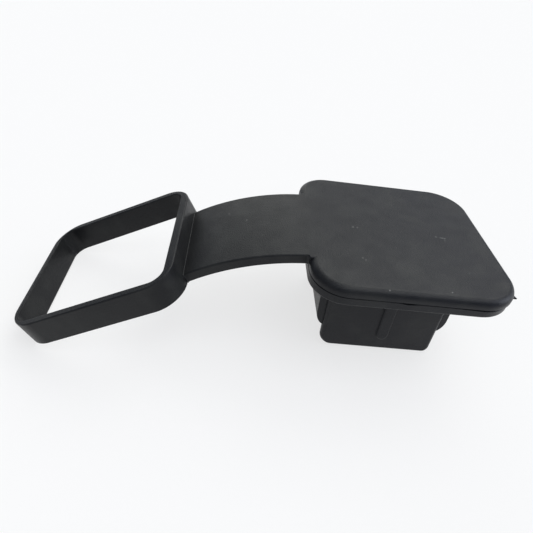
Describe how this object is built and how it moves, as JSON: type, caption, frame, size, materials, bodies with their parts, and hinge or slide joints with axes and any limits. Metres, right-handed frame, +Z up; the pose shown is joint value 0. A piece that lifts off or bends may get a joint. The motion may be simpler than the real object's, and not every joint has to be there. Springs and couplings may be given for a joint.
{
  "type": "hitch receiver cover",
  "caption": "Rubber cover for a square hitch receiver: a flat cap with a hollow plug that pushes into the tube, and a strap with a loop that keeps it on the tube.",
  "frame": {"origin": "the surface that the cover rests on, under the middle of its box", "axes": "+X along the cover from the loop to the cap, +Z up as it rests on the plug's foot and the loop's far edge, Y across the strap"},
  "size_m": [0.197, 0.0802, 0.049],
  "materials": {
    "rubber": "matt black moulded rubber"
  },
  "bodies": {
    "root": {"hitch_cover": "rubber"}
  },
  "joints": []
}
